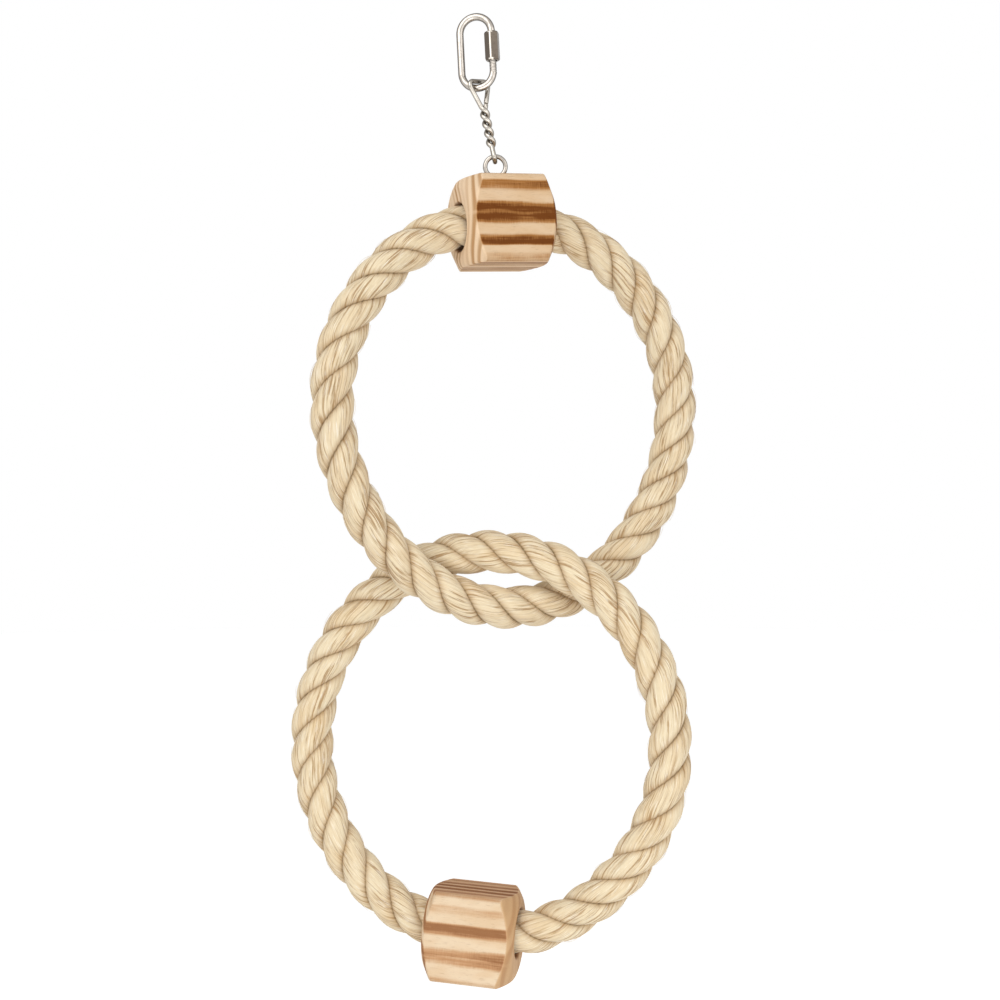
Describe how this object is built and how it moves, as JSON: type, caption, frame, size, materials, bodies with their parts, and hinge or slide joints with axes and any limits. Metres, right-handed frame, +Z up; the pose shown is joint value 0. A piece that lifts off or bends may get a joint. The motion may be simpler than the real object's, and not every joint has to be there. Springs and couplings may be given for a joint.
{
  "type": "rope ring bird toy",
  "caption": "Hanging bird toy: two linked perch rings of thick laid rope, each closed through a scorched wooden block, under a wire hanger and a quick link.",
  "frame": {"origin": "inside the top of the quick link's arch, where the bar or hook that carries the toy bears", "axes": "+Z up against the pull of the toy's weight, +X to the viewer's right, +Y away from the viewer"},
  "size_m": [0.1921, 0.0773, 0.4454],
  "materials": {
    "nickel_plated_wire": "nickel plated, lightly handled",
    "nickel_plated_nut": "nickel plated, turned",
    "bent_steel_wire": "bright drawn wire",
    "zinc_screw_eye": "zinc plated wire",
    "laid_rope": "natural fibre, matt",
    "scorched_pine_dark": "flame scorched, brushed",
    "scorched_pine_light": "flame scorched, brushed",
    "bright_nail": "bright"
  },
  "bodies": {
    "quick_link": {"quick_link_body": "nickel_plated_wire"},
    "link_nut": {"quick_link_nut": "nickel_plated_nut"},
    "hanger": {"hanger_wire": "bent_steel_wire"},
    "upper_ring": {"screw_eye": "zinc_screw_eye", "upper_block": "scorched_pine_dark", "upper_rope_strand_1": "laid_rope", "upper_rope_strand_2": "laid_rope", "upper_rope_strand_3": "laid_rope", "upper_rope_nail_left": "bright_nail", "upper_rope_nail_right": "bright_nail"},
    "lower_ring": {"lower_block": "scorched_pine_light", "lower_rope_strand_1": "laid_rope", "lower_rope_strand_2": "laid_rope", "lower_rope_strand_3": "laid_rope", "lower_rope_nail_left": "bright_nail", "lower_rope_nail_right": "bright_nail"}
  },
  "joints": [
    {"name": "nut_travel", "type": "slide", "parent": "quick_link", "child": "link_nut", "axis": [0.0506, -0.0135, -0.9986], "range_m": [0, 0.0052]},
    {"name": "hanger_swing", "type": "hinge", "parent": "quick_link", "child": "hanger", "pos_m": [0.00159, -0.00042, -0.03136], "axis": [0.9646, -0.2585, 0.0523], "range_deg": [-75, 75]},
    {"name": "ring_sway", "type": "hinge", "parent": "hanger", "child": "upper_ring", "pos_m": [0.00933, -0.00038, -0.06543], "axis": [0, 1, 0], "range_deg": [-50, 50]},
    {"name": "lower_ring_turn", "type": "hinge", "parent": "upper_ring", "child": "lower_ring", "pos_m": [0.00585, -0.0023, -0.33223], "axis": [0, 0, -1], "range_deg": [0, 105]}
  ]
}
